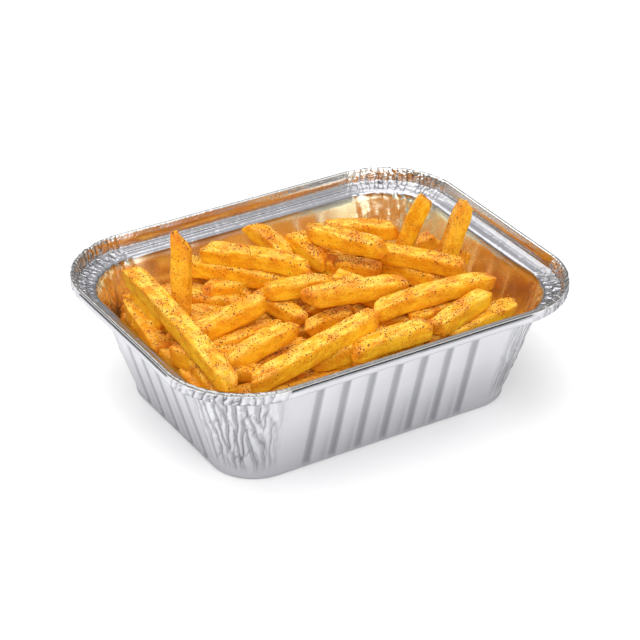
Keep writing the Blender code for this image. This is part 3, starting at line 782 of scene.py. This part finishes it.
sunk = add_node(wires, "ShaderNodeMix", {0: sunk_share.outputs[0], 6: dusted.outputs[2],
                                         7: linear("#C8640A")}, data_type="RGBA")
crisp = add_node(wires, "ShaderNodeMath", {0: streak.outputs["Fac"], 1: grit.outputs["Fac"]}, operation="ADD")
crisp_bump = add_node(wires, "ShaderNodeBump", {"Height": crisp.outputs[0], "Strength": 0.75,
                                                "Distance": CRISP_DEPTH * MM})
oil = add_node(wires, "ShaderNodeMapRange", {"Value": blotch.outputs["Fac"], "From Min": 0.3, "From Max": 0.7,
                                             "To Min": 0.42, "To Max": 0.62})
crust_shader = wires.nodes["Principled BSDF"]
wires.links.new(sunk.outputs[2], crust_shader.inputs["Base Color"])
wires.links.new(oil.outputs["Result"], crust_shader.inputs["Roughness"])
wires.links.new(crisp_bump.outputs["Normal"], crust_shader.inputs["Normal"])
crust_shader.inputs["Subsurface Weight"].default_value = 0.25
crust_shader.inputs["Subsurface Radius"].default_value = (1.0, 0.50, 0.10)
crust_shader.inputs["Subsurface Scale"].default_value = LIGHT_DEPTH * MM
crust_shader.inputs["Specular IOR Level"].default_value = 0.25
top_fries.data.materials.append(crust)
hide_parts("fries")
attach(top_fries, "root")


# Fries underneath. The rest of the portion, of the same cut, fallen flat below the ones on top and out to
# the foil's walls. They show through the gaps, and a little of their upper sides is in view.

# Sizes in millimetres, angles in degrees
MOUND_TOP = 33.0
MOUND_HALF_WIDTH = 50.0
SIDE_FALL = 5.0
END_FALL = 12.0
END_FALL_START = 22.0
END_FALL_RUN = 30.0
UNDER_LENGTH = (24.0, 38.0)
UNDER_HEADING = (-100.0, 30.0)
UNDER_SECTION = (6.0, 5.8)
UNDER_BOW = 0.2
UNDERSIDE = 3.0
MOST_TRIES = 20000
# Seed, number of fries, least distance apart, height over the mound, gap to the foil, reach from the
# foil, and the box in plan: left, right, front and back
LAYERS = ((7, 24, 7.5, 1.2, 4.4, 99.0, (-55.0, 46.0, -30.0, 42.0)),
          (12, 34, 6.5, -1.0, 4.4, 99.0, (-55.0, 46.0, -42.0, 42.0)),
          (13, 46, 5.0, -3.6, 4.4, 99.0, (-55.0, 46.0, -42.0, 42.0)),
          (15, 90, 4.4, -3.4, 3.2, 11.0, (-57.0, 58.0, -47.0, 47.0)))


def heap_height(x, y):
    """Height of the middle of the lower fries: a low mound that falls away to the right-hand end."""
    across = (y / MOUND_HALF_WIDTH) ** 2
    along = max(0.0, (x - END_FALL_START) / END_FALL_RUN) ** 2
    ripple = math.sin(x * 0.21 + 0.6) * math.cos(y * 0.27)
    return MOUND_TOP - SIDE_FALL * across - END_FALL * min(along, 1.0) + 1.0 * ripple


def room(x, y, z):
    """Distance in plan from a point to the foil's inner skin at height z."""
    inset = POCKET_INSET + WALL_SLOPE * (POCKET_Z - min(z, POCKET_Z))
    half_x = TRAY_LENGTH / 2 - inset
    half_y = TRAY_WIDTH / 2 - inset
    radius = RIM_RADIUS - RADIUS_LOSS * inset
    over_x = max(abs(x) - (half_x - radius), 0.0)
    over_y = max(abs(y) - (half_y - radius), 0.0)
    if over_x > 0.0 and over_y > 0.0:
        return radius - math.hypot(over_x, over_y)
    return min(half_x - abs(x), half_y - abs(y))


# A fry is kept where it fits: off the foil, within reach of it, and apart from the others of its layer.
# The first layer's also end inside the right-hand side of its box.
under_rows = []
for seed, amount, spacing, lift_by, clearance, reach, (left, right, front, back) in LAYERS:
    rng = random.Random(seed)
    laid = []
    tries = 0
    while len(laid) < amount and tries < MOST_TRIES:
        tries += 1
        length = rng.uniform(*UNDER_LENGTH)
        heading = rng.uniform(*UNDER_HEADING)
        x = rng.uniform(left, right)
        y = rng.uniform(front, back)
        step_x = length / 2 * math.cos(math.radians(heading))
        step_y = length / 2 * math.sin(math.radians(heading))
        start = heap_height(x - step_x, y - step_y)
        end = heap_height(x + step_x, y + step_y)
        z = (start + end) / 2 + lift_by
        low = z - UNDERSIDE
        clear = min(room(x - step_x, y - step_y, low), room(x + step_x, y + step_y, low))
        if clear < clearance or room(x, y, z) > reach:
            continue
        if seed == LAYERS[0][0] and x + abs(step_x) > right:
            continue
        if any(math.hypot(x - m[0], y - m[1]) < spacing for m in laid):
            continue
        tilt = math.degrees(math.atan2(end - start, length))
        laid.append((x, y, z, length, heading, tilt, *UNDER_SECTION, UNDER_BOW))
    under_rows += laid
under_fries = fries_mesh("under_fries", under_rows, cut_section((20.0, 70.0), (-0.3, 0.3)), 31)
under_fries.data.materials.append(crust)
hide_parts("fries")
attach(under_fries, "root")


# Middle of the heap. The fries packed too deep to tell apart, one lumpy mass that rests on the tray's
# floor and carries the rest.

CORE_COLUMNS = 96
CORE_RINGS = 22
CORE_DROP = 5.5
CORE_MARGIN_DROP = 3.0
CORE_CLEAR = 1.6
CORE_BOTTOM = 0.75
CORE_BOTTOM_INSET = 22.8
CORE_BRIM = 12.0
CORE_LUMP = 1.6
CORE_LUMP_SIZE = 6.0


def core_edge(angle, inset):
    """Point of the mass's edge in the direction angle, at this inset from the rim."""
    half_x = TRAY_LENGTH / 2 - inset
    half_y = TRAY_WIDTH / 2 - inset
    radius = RIM_RADIUS - RADIUS_LOSS * inset
    cos_a, sin_a = math.cos(angle), math.sin(angle)
    reach = min(half_x / max(abs(cos_a), 1e-6), half_y / max(abs(sin_a), 1e-6))
    corner = Vector((half_x - radius, half_y - radius))
    if reach * abs(cos_a) > corner.x and reach * abs(sin_a) > corner.y:
        along = Vector((abs(cos_a), abs(sin_a))).dot(corner)
        reach = along + math.sqrt(max(along ** 2 - corner.length_squared + radius ** 2, 0.0))
    return reach * cos_a, reach * sin_a


angles = [2 * math.pi * (k + 0.5) / CORE_COLUMNS for k in range(CORE_COLUMNS)]
core_rings = [[(*core_edge(a, CORE_BOTTOM_INSET), CORE_BOTTOM) for a in angles]]
for z in (6.0, 11.0):
    inset = POCKET_INSET + WALL_SLOPE * (POCKET_Z - z) + CORE_CLEAR
    core_rings.append([(*core_edge(a, inset), z) for a in angles])
brim_inset = POCKET_INSET + WALL_SLOPE * (POCKET_Z - CORE_BRIM) + CORE_CLEAR + 0.6
for k in range(CORE_RINGS):
    share = 1.0 - k / CORE_RINGS
    drop = CORE_DROP + (CORE_MARGIN_DROP if k == 0 else 0.0)
    ring = []
    for a in angles:
        x, y = core_edge(a, brim_inset)
        x, y = x * share, y * share
        lumps = CORE_LUMP * noise.noise(Vector((x, y, 0.0)) / CORE_LUMP_SIZE)
        ring.append((x, y, max(heap_height(x, y) - drop + lumps, CORE_BRIM)))
    core_rings.append(ring)
points = [Vector(p) * MM for ring in core_rings for p in ring]
crown = heap_height(0.0, 0.0) - CORE_DROP
points += [Vector((0.0, 0.0, CORE_BOTTOM)) * MM, Vector((0.0, 0.0, crown)) * MM]
faces = []
for k in range(len(core_rings) - 1):
    for i in range(CORE_COLUMNS):
        j = (i + 1) % CORE_COLUMNS
        faces.append((k * CORE_COLUMNS + i, k * CORE_COLUMNS + j,
                      (k + 1) * CORE_COLUMNS + j, (k + 1) * CORE_COLUMNS + i))
last = (len(core_rings) - 1) * CORE_COLUMNS
for i in range(CORE_COLUMNS):
    j = (i + 1) % CORE_COLUMNS
    faces.append((len(points) - 2, j, i))
    faces.append((len(points) - 1, last + i, last + j))
core_mesh = bpy.data.meshes.new("packed_fries")
core_mesh.from_pydata(points, [], faces)
for label, value in (("edge", 0.8), ("end", 0.6), ("upward", 0.6), ("tone", 1.0)):
    core_mesh.attributes.new(label, "FLOAT", "POINT").data.foreach_set("value", [value] * len(points))
core_mesh.attributes.new("grain_place", "FLOAT_VECTOR", "POINT").data.foreach_set(
    "vector", [c for p in points for c in p])
core_mesh.shade_smooth()
packed_fries = bpy.data.objects.new("packed_fries", core_mesh)
bpy.context.scene.collection.objects.link(packed_fries)
packed_fries.data.materials.append(crust)
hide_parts("fries")
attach(packed_fries, "root")


# Seasoning. Cracked black pepper and flakes of dried red pepper, shaken over the heap from above, so
# that they lie flat on what faces up, in patches, and fewer reach the fries low in the heap.

# Name, flake size in mm, flakes on a square mm where they lie thickest, seed, material and colour
PEPPER = (("pepper_flakes", 0.54, 0.66, 3, "black_pepper", "#3A230F"),
          ("chilli_flakes", 0.50, 0.75, 8, "dried_red_pepper", "#9E2F10"))
SIZE_SPREAD = (0.45, 1.45)
PATCH_SIZE = 5.0
MOTTLE_SIZE = 1.5
FEWER_BELOW = (22.0, 37.0)
FEWEST = 0.3

# One flake, a five-sided chip with a raised middle, in shares of the flake size
flake_mesh = bpy.data.meshes.new("flake")
flake_mesh.from_pydata([(0.55, 0.03, 0.0), (0.1, 0.33, 0.03), (-0.5, 0.1, -0.02), (-0.2, -0.32, 0.02),
                        (0.35, -0.25, 0.0), (0.0, 0.0, 0.22), (0.02, 0.0, -0.12)], [],
                       [(0, 1, 5), (1, 2, 5), (2, 3, 5), (3, 4, 5), (4, 0, 5),
                        (1, 0, 6), (2, 1, 6), (3, 2, 6), (4, 3, 6), (0, 4, 6)])
flake = bpy.data.objects.new("flake", flake_mesh)
bpy.context.scene.collection.objects.link(flake)

for name, size_mm, per_square_mm, seed, label, colour in PEPPER:
    # Ground spice: dry and dull, with brown mottles that break up the near-black or the brick red.
    spice = bpy.data.materials.new(label)
    spice.use_nodes = True
    wires = spice.node_tree
    place = add_node(wires, "ShaderNodeTexCoord").outputs["Object"]
    mottle = add_node(wires, "ShaderNodeTexNoise", {"Vector": place, "Scale": 1 / (MOTTLE_SIZE * MM)})
    tint = add_node(wires, "ShaderNodeMix", {0: mottle.outputs["Fac"], 6: linear(colour),
                                             7: linear("#6B2C12")}, data_type="RGBA")
    spice_shader = wires.nodes["Principled BSDF"]
    wires.links.new(tint.outputs[2], spice_shader.inputs["Base Color"])
    spice_shader.inputs["Roughness"].default_value = 0.75

    tree = bpy.data.node_groups.new(name + "_scatter", "GeometryNodeTree")
    tree.interface.new_socket("Geometry", in_out="INPUT", socket_type="NodeSocketGeometry")
    inputs = {}
    for socket, value in (("Flake size", size_mm * MM), ("Density", per_square_mm / MM ** 2)):
        made = tree.interface.new_socket(socket, in_out="INPUT", socket_type="NodeSocketFloat")
        inputs[made.identifier] = value
    tree.interface.new_socket("Geometry", in_out="OUTPUT", socket_type="NodeSocketGeometry")
    given = add_node(tree, "NodeGroupInput")
    normal = add_node(tree, "GeometryNodeInputNormal")
    upward = add_node(tree, "ShaderNodeSeparateXYZ", {0: normal.outputs[0]})
    facing = add_node(tree, "ShaderNodeMapRange", {"Value": upward.outputs["Z"], "From Min": 0.05,
                                                   "From Max": 0.85})
    patch = add_node(tree, "ShaderNodeTexNoise", {"Scale": 1 / (PATCH_SIZE * MM), "Detail": 3.0})
    gather = add_node(tree, "ShaderNodeMapRange", {"Value": patch.outputs["Fac"], "From Min": 0.42,
                                                   "From Max": 0.62, "To Min": 0.03, "To Max": 1.5})
    chance = add_node(tree, "ShaderNodeMath", {0: facing.outputs[0], 1: gather.outputs[0]},
                      operation="MULTIPLY")
    position = add_node(tree, "GeometryNodeInputPosition")
    where = add_node(tree, "ShaderNodeSeparateXYZ", {0: position.outputs[0]})
    high = add_node(tree, "ShaderNodeMapRange", {"Value": where.outputs["Z"],
                                                 "From Min": FEWER_BELOW[0] * MM,
                                                 "From Max": FEWER_BELOW[1] * MM,
                                                 "To Min": FEWEST, "To Max": 1.0})
    caught = add_node(tree, "ShaderNodeMath", {0: chance.outputs[0], 1: high.outputs[0]},
                      operation="MULTIPLY")
    density = add_node(tree, "ShaderNodeMath", {0: caught.outputs[0], 1: given.outputs["Density"]},
                       operation="MULTIPLY")
    low_fries = add_node(tree, "GeometryNodeObjectInfo", {"Object": under_fries})
    heap = add_node(tree, "GeometryNodeJoinGeometry", {0: given.outputs["Geometry"]})
    tree.links.new(low_fries.outputs["Geometry"], heap.inputs[0])
    spread = add_node(tree, "GeometryNodeDistributePointsOnFaces",
                      {"Mesh": heap.outputs[0], "Density": density.outputs[0], "Seed": seed})
    size = add_node(tree, "FunctionNodeRandomValue", {2: SIZE_SPREAD[0], 3: SIZE_SPREAD[1],
                                                      "Seed": seed + 1}, data_type="FLOAT")
    scale = add_node(tree, "ShaderNodeMath", {0: size.outputs[1], 1: given.outputs["Flake size"]},
                     operation="MULTIPLY")
    spin = add_node(tree, "FunctionNodeRandomValue", {0: (-0.3, -0.3, 0.0), 1: (0.3, 0.3, 6.283),
                                                      "Seed": seed + 2}, data_type="FLOAT_VECTOR")
    turned = add_node(tree, "FunctionNodeRotateRotation", {0: spread.outputs["Rotation"],
                                                           1: spin.outputs[0]}, rotation_space="LOCAL")
    shape = add_node(tree, "GeometryNodeObjectInfo", {"Object": flake})
    placed = add_node(tree, "GeometryNodeInstanceOnPoints",
                      {"Points": spread.outputs["Points"], "Instance": shape.outputs["Geometry"],
                       "Rotation": turned.outputs[0], "Scale": scale.outputs[0]})
    real = add_node(tree, "GeometryNodeRealizeInstances", {0: placed.outputs[0]})
    coated = add_node(tree, "GeometryNodeSetMaterial", {"Geometry": real.outputs[0], "Material": spice})
    add_node(tree, "NodeGroupOutput", {0: coated.outputs[0]})

    ground = bpy.data.objects.new(name + "_ground", top_fries.data.copy())
    bpy.context.scene.collection.objects.link(ground)
    scatter = ground.modifiers.new("scatter", "NODES")
    scatter.node_group = tree
    for identifier, value in inputs.items():
        scatter[identifier] = value
    graph = bpy.context.evaluated_depsgraph_get()
    flakes = bpy.data.objects.new(name, bpy.data.meshes.new_from_object(ground.evaluated_get(graph)))
    flakes.data.name = name
    bpy.context.scene.collection.objects.link(flakes)
    bpy.data.objects.remove(ground)
    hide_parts("fries")
    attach(flakes, "root")
bpy.data.objects.remove(flake)
